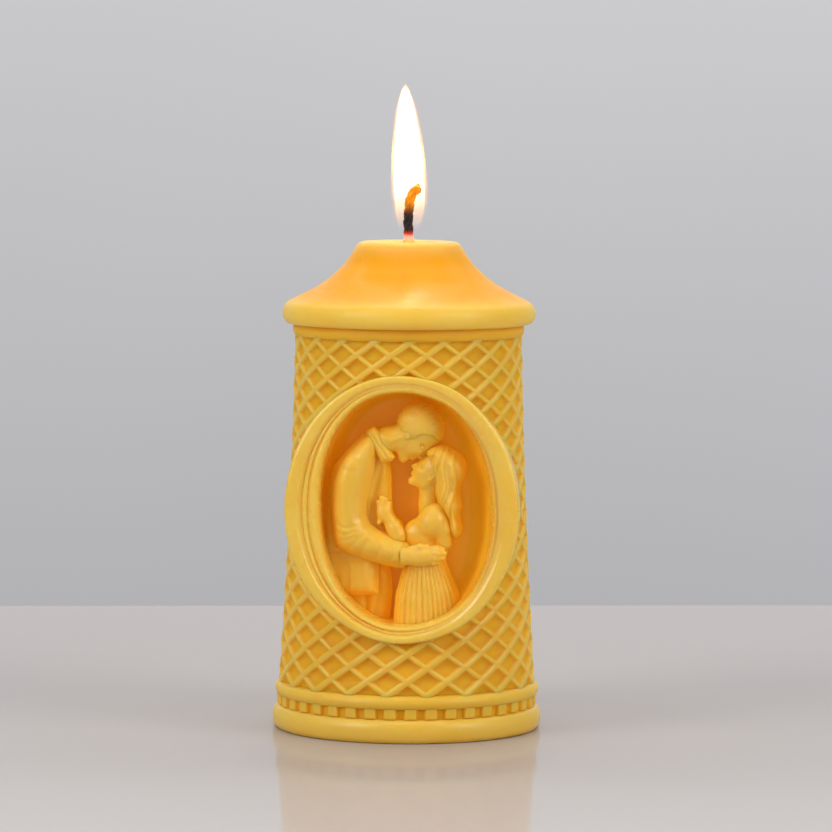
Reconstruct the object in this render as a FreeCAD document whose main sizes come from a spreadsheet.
import FreeCAD, Part
import math
import os
import Sketcher

# Unity candle: one wax casting round one cotton wick, divided feature by feature.
# Millimetres. +Z is up, the origin is the centre of the bottom face and the medallion faces -Y.

Vector = FreeCAD.Vector
Rotation = FreeCAD.Rotation
Placement = FreeCAD.Placement

doc = FreeCAD.newDocument("UnityCandle")

# ---------------------------------------------------------------- driving dimensions

DIMENSIONS = [
    # base and bands under the column
    ("ring_radius_foot", 29.1), ("ring_radius_top", 29.0), ("ring_height", 5.2), ("ring_bulge", 4.0),
    ("dentil_count", 40), ("dentil_height", 2.3), ("dentil_ground_radius", 28.2),
    ("dentil_face_radius", 29.0), ("dentil_width", 2.64), ("dentil_root", 0.6),
    ("string_radius_low", 28.45), ("string_radius_high", 28.5),
    ("string_height", 2.8), ("string_bulge", 1.58),
    # column: radii of the lattice crest, and the depth of its recesses
    ("column_height", 76.9), ("waist_height", 33.7), ("crest_radius_low", 28.6),
    ("crest_radius_waist", 26.7), ("crest_radius_high", 25.3), ("relief", 0.8),
    # lattice of two helical rib families
    ("rib_count", 20), ("rib_slope", 0.68), ("rib_rising_width", 1.7), ("rib_falling_width", 1.15),
    ("lattice_phase", 2.7), ("smallest_crumb", 2.0),
    # neck and roof
    ("neck_radius", 25.2), ("neck_bead_height", 2.3), ("neck_bead_bulge", 1.23), ("neck_height", 3.0),
    ("eaves_radius", 26.8), ("rim_height", 5.3), ("rim_radius", 26.2), ("rim_bulge", 2.95),
    ("flank_radius", 12.0), ("flank_height", 11.7), ("flank_sweep", 30.0),
    ("crown_height", 0.9), ("crown_radius", 11.0), ("crown_bulge", 1.2),
    # wick, molten wax and flame
    ("wick_radius", 1.02), ("wick_stub", 8.5), ("wick_hook_radius", 3.9), ("wick_hook_angle", 70),
    ("pool_radius", 3.4), ("pool_height", 0.5),
    ("flame_base", 6.0), ("flame_height", 29.5), ("flame_radius", 3.75), ("flame_lean", 2.9),
    # medallion: half axes of its ovals, and depths behind its face
    ("face_distance", 28.3), ("medallion_height", 51.2), ("medallion_lean", 2.2), ("oval_roll", 2.8),
    ("frame_side", 25.6), ("frame_top", 29.3), ("outer_ridge_width", 3.3), ("ridge_setback", 0.15),
    ("ledge_width", 1.5), ("ledge_depth", 1.7), ("inner_ridge_width", 2.5), ("inner_ridge_depth", 0.7),
    ("ridge_step_inset", 0.45), ("ridge_step_rise", 0.3), ("frame_root", 5.0),
    ("niche_side", 17.6), ("niche_top", 24.6), ("niche_depth", 14.8),
    # couple in the niche
    ("jacket_front", 6.6), ("jacket_edge", 1.4), ("trousers_front", 8.2), ("trousers_edge", 1.0),
    ("collar_front", 4.6), ("collar_edge", 0.5),
    ("groom_head_height", 5.4), ("groom_head_width", 4.3), ("groom_head_depth", 4.9),
    ("bride_head_height", 5.2), ("bride_head_width", 3.9), ("bride_head_depth", 4.4),
    ("skirt_height", 12.2), ("skirt_waist", 4.5), ("skirt_hem", 7.2), ("skirt_pleats", 16),
    ("skirt_pleat_depth", 0.45),
]

sheet = doc.addObject("Spreadsheet::Sheet", "Dimensions")
for row, (alias, amount) in enumerate(DIMENSIONS, 1):
    sheet.set(f"A{row}", alias)
    sheet.set(f"B{row}", str(amount))
    sheet.setAlias(f"B{row}", alias)
doc.recompute()


def size(formula):
    """The value of a formula in the sheet's aliases, such as 'ring_height + dentil_height'."""
    if isinstance(formula, (int, float)):
        return float(formula)
    result = sheet.evalExpression(formula)
    return float(getattr(result, "Value", result))


def in_sheet(formula):
    """The same formula as an expression for another object."""
    words = {alias for alias, _ in DIMENSIONS}
    pieces = formula.replace("(", " ( ").replace(")", " ) ").split()
    return " ".join(f"Dimensions.{piece}" if piece in words else piece for piece in pieces)


# heights of the joints between the features, from the bottom up
DENTIL_BASE = "ring_height"
STRING_BASE = DENTIL_BASE + " + dentil_height"
COLUMN_BASE = STRING_BASE + " + string_height"
NECK_BASE = COLUMN_BASE + " + column_height"
ROOF_BASE = NECK_BASE + " + neck_height"
CROWN_TOP = ROOF_BASE + " + rim_height + flank_height + crown_height"


# ---------------------------------------------------------------- helpers

def raise_to(obj, formula):
    """Stand an object at a height given by a formula."""
    obj.setExpression(".Placement.Base.z", in_sheet(formula))


def plane_of(body, role):
    return [plane for plane in body.Origin.OriginFeatures if plane.Role == role][0]


def new_sketch(body, name, role):
    sketch = body.newObject("Sketcher::SketchObject", name)
    sketch.AttachmentSupport = [(plane_of(body, role), "")]
    sketch.MapMode = "FlatFace"
    return sketch


def arc_between(start, end, radius, turn):
    """The minor arc from start to end; turn is 1 for counterclockwise and -1 for clockwise."""
    chord = end - start
    middle = (start + end) * 0.5
    rise = math.sqrt(radius ** 2 - (chord.Length / 2) ** 2)
    normal = Vector(-chord.y, chord.x, 0).normalize()
    centre = middle + normal * (rise * turn)
    first, last = (start, end) if turn > 0 else (end, start)
    first_angle = math.atan2(first.y - centre.y, first.x - centre.x)
    last_angle = math.atan2(last.y - centre.y, last.x - centre.x)
    return Part.ArcOfCircle(Part.Circle(centre, Vector(0, 0, 1), radius), first_angle, last_angle)


def draw_outline(sketch, corners):
    """A closed outline of corners (x, y, bulge); bulge is None or (radius formula, turn)."""
    places = [Vector(size(corner[0]), size(corner[1]), 0) for corner in corners]
    edges = []
    for index, corner in enumerate(corners):
        start, end = places[index], places[(index + 1) % len(corners)]
        bulge = corner[2] if len(corner) > 2 else None
        if bulge is None:
            edge = sketch.addGeometry(Part.LineSegment(start, end), False)
            edges.append((edge, 1, 2))
            continue
        radius, turn = bulge
        edge = sketch.addGeometry(arc_between(start, end, size(radius), turn), False)
        edges.append((edge, 1, 2) if turn > 0 else (edge, 2, 1))
        rule = sketch.addConstraint(Sketcher.Constraint("Radius", edge, size(radius)))
        sketch.setExpression(f"Constraints[{rule}]", in_sheet(radius))
    for index, (edge, start_vertex, _) in enumerate(edges):
        before, _, end_vertex = edges[index - 1]
        sketch.addConstraint(Sketcher.Constraint("Coincident", before, end_vertex, edge, start_vertex))
        for kind, formula, amount in (("DistanceX", corners[index][0], places[index].x),
                                      ("DistanceY", corners[index][1], places[index].y)):
            if amount == 0:
                axis = -2 if kind == "DistanceX" else -1
                sketch.addConstraint(Sketcher.Constraint("PointOnObject", edge, start_vertex, axis))
                continue
            rule = sketch.addConstraint(Sketcher.Constraint(kind, -1, 1, edge, start_vertex, amount))
            if isinstance(formula, str):
                sketch.setExpression(f"Constraints[{rule}]", in_sheet(formula))


def turned(label, corners, height=None, angle=360):
    """A body turned about Z from an outline in radius and height above its own foot."""
    body = doc.addObject("PartDesign::Body", label)
    sketch = new_sketch(body, label + "_outline", "XZ_Plane")
    draw_outline(sketch, corners)
    turn = body.newObject("PartDesign::Revolution", label + "_turn")
    turn.Profile = sketch
    turn.ReferenceAxis = (sketch, ["V_Axis"])
    turn.Angle = angle
    if height is not None:
        raise_to(body, height)
    return body


def primitive(kind, name, place, **formulas):
    """A Part primitive whose sizes are bound to the sheet."""
    solid = doc.addObject(kind, name)
    solid.Placement = place
    for property_name, formula in formulas.items():
        solid.setExpression(property_name, in_sheet(formula))
    return solid


def fused(name, shapes):
    union = doc.addObject("Part::MultiFuse", name)
    union.Shapes = shapes
    return union


def cut(name, base, tool):
    remainder = doc.addObject("Part::Cut", name)
    remainder.Base = base
    remainder.Tool = tool
    return remainder


def common(name, base, tool):
    shared = doc.addObject("Part::Common", name)
    shared.Base = base
    shared.Tool = tool
    return shared


# ---------------------------------------------------------------- base and bands

PITCH = 360 / size("dentil_count")

base_ring = turned("base_ring", [
    ("wick_radius", 0),
    ("ring_radius_foot", 0, ("ring_bulge", 1)),
    ("ring_radius_top", "ring_height"),
    ("wick_radius", "ring_height"),
])


def make_dentil_band():
    """A ground ring with forty square teeth, a gap facing -Y."""
    body = turned("dentil_band", [
        ("wick_radius", 0),
        ("dentil_ground_radius", 0),
        ("dentil_ground_radius", "dentil_height"),
        ("wick_radius", "dentil_height"),
    ], DENTIL_BASE)
    sketch = new_sketch(body, "dentil_tooth", "XY_Plane")
    inner = "dentil_ground_radius - dentil_root"
    draw_outline(sketch, [
        (inner, "0 - dentil_width / 2"),
        ("dentil_face_radius", "0 - dentil_width / 2"),
        ("dentil_face_radius", "dentil_width / 2"),
        (inner, "dentil_width / 2"),
    ])
    tooth = body.newObject("PartDesign::Pad", "dentil_tooth_pad")
    tooth.Profile = sketch
    tooth.setExpression("Length", in_sheet("dentil_height"))
    doc.recompute()
    row = body.newObject("PartDesign::PolarPattern", "dentil_row")
    row.Originals = [tooth]
    row.Axis = (plane_of(body, "Z_Axis"), [""])
    row.Angle = 360
    row.setExpression("Occurrences", in_sheet("dentil_count"))
    body.Tip = row
    body.Placement.Rotation = Rotation(Vector(0, 0, 1), PITCH / 2 - 90)
    return body


dentil_band = make_dentil_band()

string_course = turned("string_course", [
    ("wick_radius", 0),
    ("string_radius_low", 0, ("string_bulge", 1)),
    ("string_radius_high", "string_height"),
    ("wick_radius", "string_height"),
], STRING_BASE)


# ---------------------------------------------------------------- medallion frame of reference

MEDALLION = Placement(
    Vector(0, -size("face_distance"), size("medallion_height")),
    Rotation(Vector(1, 0, 0), -size("medallion_lean")),
)


def in_medallion(x, depth, up, rotation=Rotation()):
    """A place in the medallion: x to the right, depth behind its face, up from its centre."""
    return MEDALLION.multiply(Placement(Vector(x, depth, up), rotation))


# an ellipse's long axis goes up, its short axis to the right and its normal into the candle
OVAL_TURN = Rotation(Vector(0, 1, 0), -size("oval_roll")).multiply(Rotation(Vector(1, 1, 1), -120))


def oval_prism(name, side, top, front, back):
    """An elliptical block between two depths behind the medallion's face."""
    outline = doc.addObject("Part::Ellipse", name + "_outline")
    outline.setExpression("MajorRadius", in_sheet(top))
    outline.setExpression("MinorRadius", in_sheet(side))
    outline.Placement = in_medallion(0, size(front), 0, OVAL_TURN)
    prism = doc.addObject("Part::Extrusion", name)
    prism.Base = outline
    prism.DirMode = "Normal"
    prism.Solid = True
    prism.setExpression("LengthFwd", in_sheet(f"{back} - ( {front} )"))
    return prism


def stepped_ring(name, side, top, width, front, back):
    """A raised oval ring that rises to its front in three narrowing steps."""
    rings = []
    for step in range(3):
        inset = f"{step} * ridge_step_inset"
        step_front = f"{front} + {2 - step} * ridge_step_rise"
        outer = oval_prism(f"{name}_outer_{step + 1}", f"{side} - {inset}", f"{top} - {inset}",
                           step_front, back)
        inner = oval_prism(f"{name}_inner_{step + 1}", f"{side} - {width} + {inset}",
                           f"{top} - {width} + {inset}", f"{step_front} - 1", f"{back} + 1")
        rings.append(cut(f"{name}_step_{step + 1}", outer, inner))
    return fused(name, rings)


# ---------------------------------------------------------------- column

FRAME_BACK = "face_distance - frame_root"
GROUND_LOW = "crest_radius_low - relief"
GROUND_WAIST = "crest_radius_waist - relief"
GROUND_HIGH = "crest_radius_high - relief"

column_blank = turned("column_blank", [
    ("wick_radius", 0),
    (GROUND_LOW, 0),
    (GROUND_WAIST, "waist_height"),
    (GROUND_HIGH, "column_height"),
    ("wick_radius", "column_height"),
], COLUMN_BASE)

niche_space = oval_prism("niche_space", "niche_side", "niche_top", "0 - 10", "niche_depth")
pillar_core = cut("pillar_core", column_blank, niche_space)

# The lattice repeats round the column, so one stave of it is cut and then copied.
STAVE_ANGLE = 360 / size("rib_count")
stave_blank = turned("stave_blank", [
    (GROUND_LOW, 0),
    ("crest_radius_low", 0),
    ("crest_radius_waist", "waist_height"),
    ("crest_radius_high", "column_height"),
    (GROUND_HIGH, "column_height"),
    (GROUND_WAIST, "waist_height"),
], COLUMN_BASE, STAVE_ANGLE)


def crest_radius_at(height):
    """Radius of the column's crest at a height above the string course."""
    waist, length = size("waist_height"), size("column_height")
    low, middle, high = size("crest_radius_low"), size("crest_radius_waist"), size("crest_radius_high")
    if height < waist:
        return low + (middle - low) * height / waist
    return middle + (high - middle) * (height - waist) / (length - waist)


def stave_openings():
    """Diamond prisms for the recesses of one stave, centred on the +X direction."""
    half_pitch = math.pi / size("rib_count")
    slope = size("rib_slope")
    lean = math.atan(slope)
    prisms = []
    height = 0.0
    row = 0
    while height < size("column_height") + slope * size("crest_radius_high") * half_pitch:
        radius = crest_radius_at(min(height, size("column_height")))
        rib_pitch = 2 * half_pitch * radius * math.sin(lean)
        rising = half_pitch * (1 - size("rib_rising_width") / rib_pitch)
        falling = half_pitch * (1 - size("rib_falling_width") / rib_pitch)
        # corners of one diamond: half the sum and half the difference of its two helical bounds
        corners = [(falling, rising), (falling, -rising), (-falling, -rising), (-falling, rising)]
        start = radius - 3 * size("relief")
        for middle in ((0,) if row % 2 == 0 else (-half_pitch, half_pitch)):
            points = []
            for along, across in corners:
                sideways = radius * (along + across) / 2
                upwards = slope * radius * (along - across) / 2
                points.append(Vector(start, sideways, height + upwards))
            outline = Part.makePolygon(points + points[:1])
            prism = Part.Face(outline).extrude(Vector(5 * size("relief"), 0, 0))
            prism.rotate(Vector(), Vector(0, 0, 1), math.degrees(middle))
            prisms.append(prism)
        height += slope * radius * half_pitch
        row += 1
    return Part.makeCompound(prisms)


def make_lattice():
    """Twenty equal staves of open lattice, cut away where the oval frame stands."""
    stave_blank.Placement.Rotation = Rotation(Vector(0, 0, 1), -STAVE_ANGLE / 2)
    diamonds = doc.addObject("Part::Feature", "stave_diamonds")
    diamonds.Shape = stave_openings()
    diamonds.Placement = Placement(Vector(0, 0, size(COLUMN_BASE)), Rotation())
    stave = cut("lattice_stave", stave_blank, diamonds)
    doc.recompute()
    footprint = oval_prism("frame_footprint", "frame_side", "frame_top", "0 - 10", FRAME_BACK)
    doc.recompute()
    staves = []
    for index in range(int(size("rib_count"))):
        turned_stave = stave.Shape.copy()
        turn = size("lattice_phase") - 90 + index * STAVE_ANGLE
        turned_stave.rotate(Vector(), Vector(0, 0, 1), turn)
        outside = turned_stave.cut(footprint.Shape)
        staves += [piece for piece in outside.Solids if piece.Volume > size("smallest_crumb")]
    lattice = doc.addObject("Part::Feature", "lattice_ribs")
    lattice.Shape = Part.makeCompound(staves)
    return lattice


lattice_ribs = make_lattice()


# ---------------------------------------------------------------- neck and roof

neck_bead = turned("neck_bead", [
    ("wick_radius", 0),
    ("neck_radius", 0, ("neck_bead_bulge", 1)),
    ("neck_radius", "neck_bead_height"),
    ("neck_radius", "neck_height"),
    ("wick_radius", "neck_height"),
], NECK_BASE)


# ogee outline: a rounded rim, a hollow flank and a flat crown with a soft edge
CROWN_BASE = "rim_height + flank_height"
roof_cap = turned("roof_cap", [
    ("wick_radius", 0),
    ("eaves_radius", 0, ("rim_bulge", 1)),
    ("rim_radius", "rim_height", ("flank_sweep", -1)),
    ("flank_radius", CROWN_BASE, ("crown_bulge", 1)),
    ("crown_radius", CROWN_BASE + " + crown_height"),
    ("wick_radius", CROWN_BASE + " + crown_height"),
], ROOF_BASE)


# ---------------------------------------------------------------- oval frame

RIDGE_SIDE = "frame_side - outer_ridge_width - ledge_width"
RIDGE_TOP = "frame_top - outer_ridge_width - ledge_width"


def make_oval_frame():
    """Outer ridge, sunk ledge, inner ridge and plain slope, fitted over the column."""
    outer = stepped_ring("outer_ridge", "frame_side - ridge_setback", "frame_top - ridge_setback",
                         "outer_ridge_width", "0", "ledge_depth + 1")
    inner = stepped_ring("inner_ridge", RIDGE_SIDE, RIDGE_TOP, "inner_ridge_width",
                         "inner_ridge_depth", "ledge_depth + 1")
    bed = oval_prism("frame_bed", "frame_side", "frame_top", "ledge_depth", FRAME_BACK)
    moulding = fused("frame_moulding", [outer, inner, bed])
    opened = cut("frame_opened", moulding, niche_space)
    return cut("oval_frame", opened, column_blank)


oval_frame = make_oval_frame()


# ---------------------------------------------------------------- the couple

def relief_body(label, corners, front, edge):
    """A flat figure piece: an outline padded from the back wall to its front, front edge rounded."""
    body = doc.addObject("PartDesign::Body", label)
    sketch = new_sketch(body, label + "_outline", "XZ_Plane")
    draw_outline(sketch, corners)
    pad = body.newObject("PartDesign::Pad", label + "_pad")
    pad.Profile = sketch
    pad.setExpression("Length", in_sheet(f"niche_depth - {front}"))
    doc.recompute()
    rims = []
    for index, rim in enumerate(pad.Shape.Edges, 1):
        if abs(rim.BoundBox.YMin + pad.Length.Value) < 0.01 and rim.BoundBox.YLength < 0.01:
            rims.append(f"Edge{index}")
    rounding = body.newObject("PartDesign::Fillet", label + "_edge")
    rounding.Base = (pad, rims)
    rounding.setExpression("Radius", in_sheet(edge))
    body.Placement = in_medallion(0, size("niche_depth"), 0)
    return body


def limb(name, stations, base=MEDALLION):
    """A limb lofted through round sections: stations are (x, depth, up, radius) in a base frame."""
    centres = [Vector(x, depth, up) for x, depth, up, _ in stations]
    sections = []
    for index, (x, depth, up, radius) in enumerate(stations):
        before = centres[max(index - 1, 0)]
        after = centres[min(index + 1, len(centres) - 1)]
        ring = doc.addObject("Part::Circle", f"{name}_section_{index + 1}")
        ring.Radius = radius
        facing = Rotation(Vector(0, 0, 1), after - before)
        ring.Placement = base.multiply(Placement(Vector(x, depth, up), facing))
        sections.append(ring)
    loft = doc.addObject("Part::Loft", name)
    loft.Sections = sections
    loft.Solid = True
    return loft


def egg(name, x, depth, up, tilt, height, width, thickness):
    """An ellipsoid whose long axis leans to the right by tilt degrees."""
    place = in_medallion(x, depth, up, Rotation(Vector(0, 1, 0), tilt))
    solid = primitive("Part::Ellipsoid", name, place, Radius1=height, Radius2=width, Radius3=thickness)
    solid.Angle1 = -90
    solid.Angle2 = 90
    return solid


def make_skirt():
    """A pleated skirt lofted from the waist to a wider hem."""
    pleats = int(size("skirt_pleats"))
    sections = []
    rings = (("hem", size("skirt_hem"), 0), ("waist", size("skirt_waist"), size("skirt_height")))
    for name, radius, up in rings:
        depth = size("skirt_pleat_depth") * radius / size("skirt_hem")
        points = []
        for step in range(2 * pleats):
            reach = radius - depth * (step % 2)
            angle = math.pi * step / pleats
            points.append(Vector(reach * math.cos(angle), reach * math.sin(angle), up))
        ring = doc.addObject("Part::Feature", f"skirt_{name}")
        ring.Shape = Part.makePolygon(points + points[:1])
        ring.Placement = in_medallion(4.8, 9.4, -25.6)
        sections.append(ring)
    loft = doc.addObject("Part::Loft", "skirt_raw")
    loft.Sections = sections
    loft.Solid = True
    loft.Ruled = True
    return loft


sleeve_raw = limb("sleeve_raw", [
    (-9.2, 9.6, 15.2, 2.6),
    (-11.6, 7.6, 11.0, 3.7),
    (-12.2, 6.6, 4.0, 3.8),
    (-12.1, 6.2, -2.6, 3.7),
    (-9.8, 6.0, -7.4, 3.4),
    (-4.6, 5.8, -9.0, 3.0),
    (1.5, 5.8, -10.1, 2.5),
])

jacket_raw = relief_body("jacket_raw", [
    (-8.3, 16.6), (-2.6, 11.0), (-3.1, 5.6), (-2.9, 0.2), (-1.6, -5.3), (-4.2, -8.6), (-5.6, -12.9),
    (-5.8, -18.6), (-13.0, -18.6), (-18.4, -15.4), (-18.4, -8.6),
    (-17.0, 1.3), (-16.1, 7.4), (-12.9, 13.1),
], "jacket_front", "jacket_edge")

trousers_raw = relief_body("trousers_raw", [
    (-13.4, -18.6), (-3.3, -18.6), (-4.1, -25.5), (-14.0, -25.5),
], "trousers_front", "trousers_edge")

collar_raw = relief_body("collar_raw", [
    (-7.3, 18.2), (-5.6, 18.0), (-1.8, 10.8), (-3.2, 9.8),
], "collar_front", "collar_edge")

groom_neck_stations = [(-3.6, 9.4, 13.3, 2.9), (-1.4, 9.0, 14.6, 2.9), (1.8, 9.0, 15.4, 3.2)]
groom_neck = limb("groom_neck_raw", groom_neck_stations)
groom_skull = egg("groom_skull", 2.6, 9.0, 14.2, 115, "groom_head_height", "groom_head_width",
                  "groom_head_depth")
groom_head_raw = fused("groom_head_raw", [groom_neck, groom_skull])
groom_hair_raw = egg("groom_hair_raw", 3.4, 9.6, 16.9, 100, "groom_head_height + 0.6",
                     "groom_head_width + 0.3", "groom_head_depth + 0.4")

bride_neck = limb("bride_neck_raw", [(5.8, 9.6, -0.6, 2.3), (5.1, 9.4, 3.8, 2.0), (4.9, 9.0, 5.6, 2.2)])
bride_skull = egg("bride_skull", 4.6, 8.6, 7.1, 28, "bride_head_height", "bride_head_width",
                  "bride_head_depth")
bride_head_raw = fused("bride_head_raw", [bride_neck, bride_skull])

hair_lock = limb("hair_lock", [
    (7.2, 8.4, 12.2, 1.8),
    (9.6, 8.2, 9.6, 3.2),
    (10.2, 8.2, 6.2, 3.2),
    (9.9, 8.0, 2.2, 2.5),
    (10.6, 8.0, -1.6, 2.4),
    (11.5, 8.4, -5.6, 1.1),
])
hair_crown = egg("hair_crown", 7.2, 9.8, 8.8, 20, "bride_head_height", "bride_head_width + 0.3",
                 "bride_head_depth")
bride_hair_raw = fused("bride_hair_raw", [hair_lock, hair_crown])

bride_bodice_raw = limb("bride_bodice_raw", [
    (5.0, 9.4, -13.4, 4.4),
    (5.0, 9.4, -9.4, 4.3),
    (5.4, 8.8, -4.6, 5.0),
    (6.0, 9.4, -0.8, 3.4),
])
skirt_raw = make_skirt()

bride_hand_raw = limb("bride_hand_raw", [
    (-3.0, 6.4, 2.0, 0.8),
    (-3.8, 6.0, -0.8, 1.3),
    (-3.2, 6.1, -4.2, 1.5),
    (-1.2, 7.2, -6.6, 1.4),
])

# a hand laid flat round the bride's waist
groom_hand_raw = limb("groom_hand_raw", [
    (1.9, 5.9, -10.2, 2.2),
    (4.0, 6.2, -10.4, 2.2),
    (7.0, 6.4, -10.2, 2.0),
    (9.3, 7.2, -9.9, 1.0),
])

# Where two figure pieces meet, the one in front keeps its shape and the one behind is cut to it:
# each row is a piece, its uncut solid and the finished pieces that it gives way to.
FIGURES_FRONT_TO_BACK = [
    ("groom_sleeve", sleeve_raw, []),
    ("groom_hand", groom_hand_raw, ["groom_sleeve"]),
    ("bride_hand", bride_hand_raw, ["groom_sleeve"]),
    ("groom_collar", collar_raw, ["groom_sleeve"]),
    ("groom_head", groom_head_raw, ["groom_collar", "groom_sleeve"]),
    ("groom_hair", groom_hair_raw, ["groom_head", "groom_collar"]),
    ("bride_head", bride_head_raw, ["groom_head", "groom_hair"]),
    ("bride_hair", bride_hair_raw, ["bride_head", "groom_head", "groom_hair"]),
    ("bride_bodice", bride_bodice_raw, ["groom_sleeve", "groom_hand", "bride_head", "bride_hair"]),
    ("bride_skirt", skirt_raw, ["groom_hand"]),
    ("groom_jacket", jacket_raw,
     ["groom_sleeve", "groom_collar", "groom_head", "bride_hand", "bride_bodice"]),
    ("groom_trousers", trousers_raw, ["bride_skirt"]),
]


def trim_figures():
    """Keep every figure piece inside the niche and clear of the pieces in front of it."""
    finished = {}
    for label, raw, in_front in FIGURES_FRONT_TO_BACK:
        piece = common(label + "_in_niche", niche_space, raw)
        for neighbour in in_front:
            piece = cut(f"{label}_less_{neighbour}", piece, finished[neighbour])
        finished[label] = piece
    return finished


figures = trim_figures()


# ---------------------------------------------------------------- wick, molten wax and flame

def make_wick():
    """A round cord straight up through the casting, its burning end hooked to one side."""
    body = doc.addObject("PartDesign::Body", "wick")
    straight = size(CROWN_TOP + " + wick_stub")
    hook = size("wick_hook_radius")
    route = new_sketch(body, "wick_route", "XZ_Plane")
    top = Vector(0, straight, 0)
    centre = Vector(hook, straight, 0)
    end_angle = math.pi
    start_angle = math.pi - math.radians(size("wick_hook_angle"))
    line = route.addGeometry(Part.LineSegment(Vector(), top), False)
    bend = route.addGeometry(
        Part.ArcOfCircle(Part.Circle(centre, Vector(0, 0, 1), hook), start_angle, end_angle), False)
    route.addConstraint(Sketcher.Constraint("Coincident", line, 1, -1, 1))
    route.addConstraint(Sketcher.Constraint("PointOnObject", line, 2, -2))
    route.addConstraint(Sketcher.Constraint("Tangent", line, 2, bend, 2))
    rule = route.addConstraint(Sketcher.Constraint("DistanceY", -1, 1, line, 2, straight))
    route.setExpression(f"Constraints[{rule}]", in_sheet(CROWN_TOP + " + wick_stub"))
    rule = route.addConstraint(Sketcher.Constraint("Radius", bend, hook))
    route.setExpression(f"Constraints[{rule}]", in_sheet("wick_hook_radius"))
    section = new_sketch(body, "wick_section", "XY_Plane")
    ring = section.addGeometry(
        Part.Circle(Vector(), Vector(0, 0, 1), size("wick_radius")), False)
    section.addConstraint(Sketcher.Constraint("Coincident", ring, 3, -1, 1))
    rule = section.addConstraint(Sketcher.Constraint("Radius", ring, size("wick_radius")))
    section.setExpression(f"Constraints[{rule}]", in_sheet("wick_radius"))
    pipe = body.newObject("PartDesign::AdditivePipe", "wick_pipe")
    pipe.Profile = section
    pipe.Spine = (route, ["Edge1", "Edge2"])
    return body


wick = make_wick()

pool_blank = primitive("Part::Cone", "pool_blank", Placement(), Radius1="pool_radius",
                       Radius2="wick_radius * 1.6", Height="pool_height")
raise_to(pool_blank, CROWN_TOP)
melt_pool = cut("melt_pool", pool_blank, wick)

# the flame's section, as (height, radius) shares of its own height and greatest radius
FLAME_OUTLINE = [(0, 0.3), (0.04, 0.72), (0.1, 0.93), (0.18, 1), (0.3, 0.93), (0.5, 0.7), (0.7, 0.45),
                 (0.88, 0.22), (1, 0.05)]
flame_stations = [
    (0, 0, size("flame_height") * up, size("flame_radius") * out) for up, out in FLAME_OUTLINE
]
flame_stand = Placement(
    Vector(0, 0, size(CROWN_TOP + " + flame_base")),
    Rotation(Vector(0, 1, 0), -size("flame_lean")),
)
flame_blank = limb("flame_blank", flame_stations, flame_stand)
flame = cut("flame", flame_blank, wick)


# ---------------------------------------------------------------- checks and export

PIECES = {
    "base_ring": base_ring,
    "dentil_band": dentil_band,
    "string_course": string_course,
    "pillar_core": pillar_core,
    "lattice_ribs": lattice_ribs,
    "neck_bead": neck_bead,
    "roof_cap": roof_cap,
    "oval_frame": oval_frame,
    **figures,
    "wick": wick,
    "melt_pool": melt_pool,
    "flame": flame,
}


def check_document():
    doc.recompute()
    for obj in doc.Objects:
        if "Invalid" in obj.State or "Error" in obj.State:
            raise RuntimeError(f"{obj.Name} did not recompute: {obj.State}")
    for label, piece in PIECES.items():
        if piece.Shape.isNull() or not piece.Shape.isValid():
            raise RuntimeError(f"{label} has no valid shape")


def export_pieces():
    os.makedirs("parts", exist_ok=True)
    for label, piece in PIECES.items():
        piece.Label = label
        shape = piece.Shape
        print(f"{label}: {len(shape.Solids)} solid(s), {shape.Volume:.1f} mm3")
        shape.exportStep(os.path.join("parts", label + ".step"))


check_document()
export_pieces()
